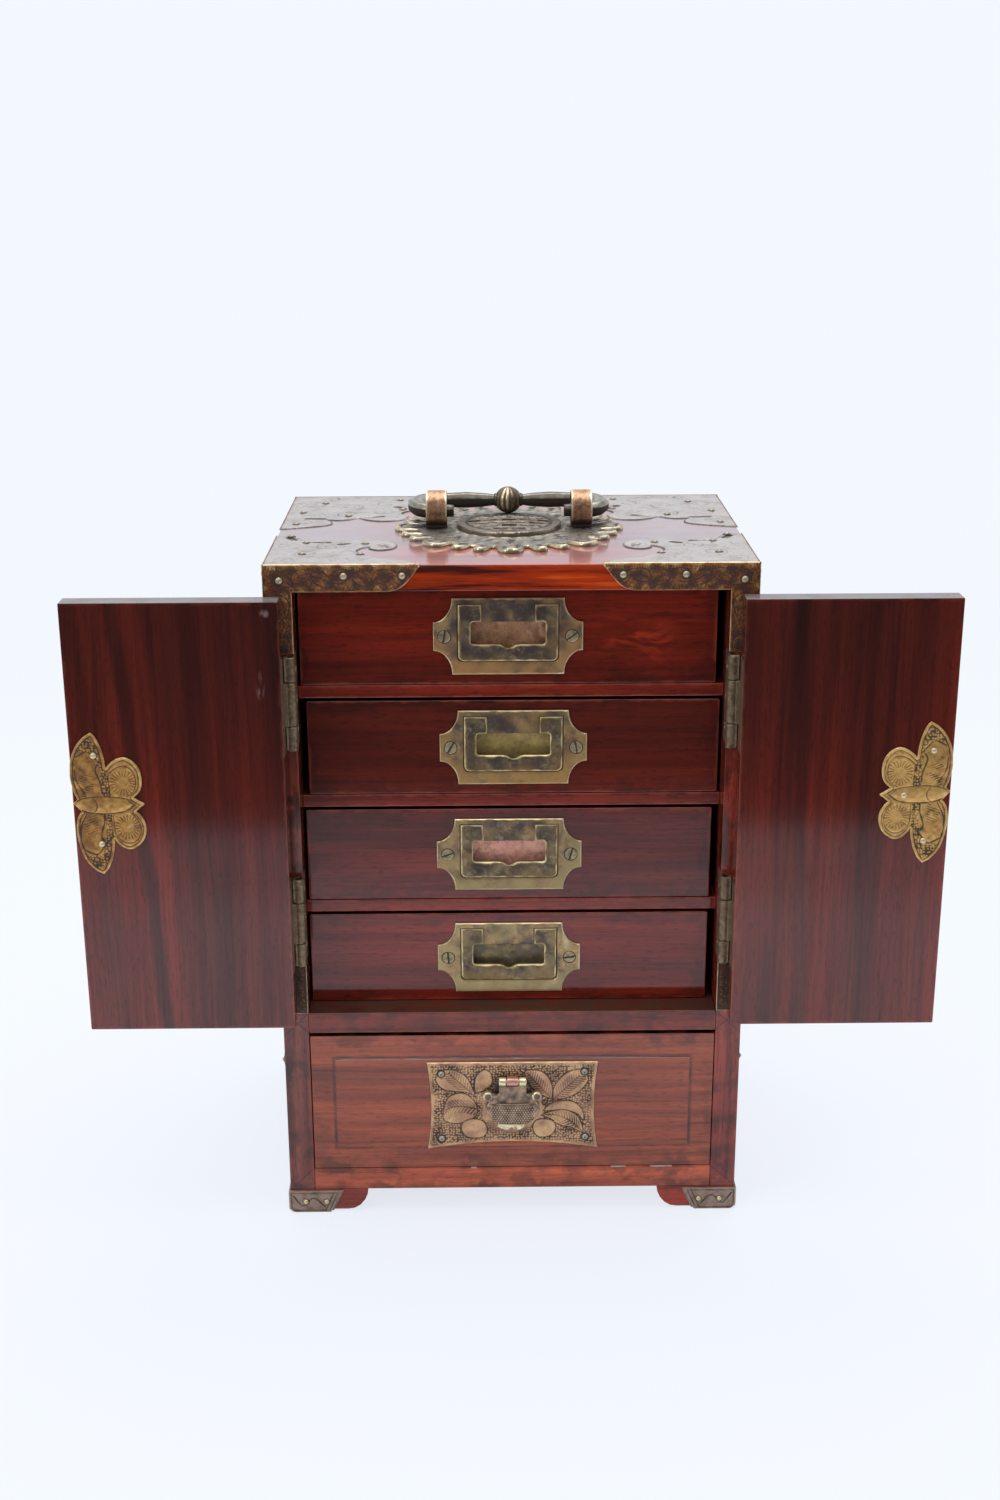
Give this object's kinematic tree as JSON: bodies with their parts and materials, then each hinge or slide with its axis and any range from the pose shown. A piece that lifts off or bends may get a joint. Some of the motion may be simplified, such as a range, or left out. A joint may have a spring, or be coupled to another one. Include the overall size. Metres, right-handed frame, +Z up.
{
  "type": "hardwood cabinet",
  "caption": "Small hardwood table cabinet with hinged doors, inner drawers with flush pulls, a base drawer with a drop pull, brass corner mounts and a carrying handle.",
  "frame": {"origin": "bottom centre of the bounding box with the doors standing open, on the ground", "axes": "+Z up; the drawers face -Y; +X to the right of someone who looks at the front"},
  "size_m": [0.3608, 0.1607, 0.3151],
  "materials": {
    "case_wood": "glossy lacquered rosewood",
    "drawer_wood": "lacquered rosewood, grain along the width",
    "box_wood": "plain unlacquered wood",
    "aged_brass": "aged and engraved",
    "plate_brass": "engraved, worn bright on the high places",
    "pull_brass": "cast, grey with age"
  },
  "bodies": {
    "case": {"top_board": "case_wood", "left_side": "case_wood", "right_side": "case_wood", "back_panel": "case_wood", "middle_board": "case_wood", "bottom_board": "case_wood", "divider_1": "case_wood", "divider_2": "case_wood", "divider_3": "case_wood", "foot_front_left": "case_wood", "foot_cap_front_left": "aged_brass", "corner_mount_front_left": "aged_brass", "foot_front_right": "case_wood", "foot_cap_front_right": "aged_brass", "corner_mount_front_right": "aged_brass", "foot_back_left": "case_wood", "foot_cap_back_left": "aged_brass", "corner_mount_back_left": "aged_brass", "foot_back_right": "case_wood", "foot_cap_back_right": "aged_brass", "corner_mount_back_right": "aged_brass", "medallion": "aged_brass", "roundel": "aged_brass", "handle_loop_left": "aged_brass", "handle_loop_right": "aged_brass", "left_upper_hinge_case_leaf": "aged_brass", "left_lower_hinge_case_leaf": "aged_brass", "right_upper_hinge_case_leaf": "aged_brass", "right_lower_hinge_case_leaf": "aged_brass"},
    "left_door": {"left_door": "case_wood", "left_butterfly_plate": "plate_brass", "left_closing_plate": "plate_brass", "left_upper_hinge_door_leaf": "aged_brass", "left_lower_hinge_door_leaf": "aged_brass"},
    "right_door": {"right_door": "case_wood", "right_butterfly_plate": "plate_brass", "right_closing_plate": "plate_brass", "right_upper_hinge_door_leaf": "aged_brass", "right_lower_hinge_door_leaf": "aged_brass"},
    "drawer_1": {"drawer_1_front": "drawer_wood", "drawer_1_box": "box_wood", "drawer_1_pull_plate": "pull_brass"},
    "pull_bail_1": {"drawer_1_pull_bail": "pull_brass"},
    "drawer_2": {"drawer_2_front": "drawer_wood", "drawer_2_box": "box_wood", "drawer_2_pull_plate": "pull_brass"},
    "pull_bail_2": {"drawer_2_pull_bail": "pull_brass"},
    "drawer_3": {"drawer_3_front": "drawer_wood", "drawer_3_box": "box_wood", "drawer_3_pull_plate": "pull_brass"},
    "pull_bail_3": {"drawer_3_pull_bail": "pull_brass"},
    "drawer_4": {"drawer_4_front": "drawer_wood", "drawer_4_box": "box_wood", "drawer_4_pull_plate": "pull_brass"},
    "pull_bail_4": {"drawer_4_pull_bail": "pull_brass"},
    "base_drawer": {"base_drawer_front": "drawer_wood", "base_drawer_box": "box_wood", "base_drawer_plate": "plate_brass"},
    "drop_pull": {"base_drawer_drop_pull": "pull_brass"},
    "carry_handle": {"carry_handle": "pull_brass"}
  },
  "joints": [
    {"name": "left_door_swing", "type": "hinge", "parent": "case", "child": "left_door", "pos_m": [-0.0906, -0.0679, 0.193], "axis": [0, 0, -1], "range_deg": [-180, 0]},
    {"name": "right_door_swing", "type": "hinge", "parent": "case", "child": "right_door", "pos_m": [0.0906, -0.0679, 0.193], "axis": [0, 0, 1], "range_deg": [-180, 0]},
    {"name": "drawer_1_slide", "type": "slide", "parent": "case", "child": "drawer_1", "axis": [0, -1, 0], "range_m": [0, 0.09]},
    {"name": "pull_bail_1_lift", "type": "hinge", "parent": "drawer_1", "child": "pull_bail_1", "pos_m": [0, -0.0533, 0.27654], "axis": [-1, 0, 0], "range_deg": [0, 90]},
    {"name": "drawer_2_slide", "type": "slide", "parent": "case", "child": "drawer_2", "axis": [0, -1, 0], "range_m": [0, 0.09]},
    {"name": "pull_bail_2_lift", "type": "hinge", "parent": "drawer_2", "child": "pull_bail_2", "pos_m": [0, -0.0533, 0.22811], "axis": [-1, 0, 0], "range_deg": [0, 90]},
    {"name": "drawer_3_slide", "type": "slide", "parent": "case", "child": "drawer_3", "axis": [0, -1, 0], "range_m": [0, 0.09]},
    {"name": "pull_bail_3_lift", "type": "hinge", "parent": "drawer_3", "child": "pull_bail_3", "pos_m": [0, -0.0533, 0.17969], "axis": [-1, 0, 0], "range_deg": [0, 90]},
    {"name": "drawer_4_slide", "type": "slide", "parent": "case", "child": "drawer_4", "axis": [0, -1, 0], "range_m": [0, 0.09]},
    {"name": "pull_bail_4_lift", "type": "hinge", "parent": "drawer_4", "child": "pull_bail_4", "pos_m": [0, -0.0533, 0.13126], "axis": [-1, 0, 0], "range_deg": [0, 90]},
    {"name": "base_drawer_slide", "type": "slide", "parent": "case", "child": "base_drawer", "axis": [0, -1, 0], "range_m": [0, 0.095]},
    {"name": "drop_pull_lift", "type": "hinge", "parent": "base_drawer", "child": "drop_pull", "pos_m": [0, -0.0692, 0.0672], "axis": [-1, 0, 0], "range_deg": [0, 80]},
    {"name": "carry_handle_swing", "type": "hinge", "parent": "case", "child": "carry_handle", "pos_m": [0, 0.0037, 0.3066], "axis": [1, 0, 0], "range_deg": [0, 173]}
  ]
}
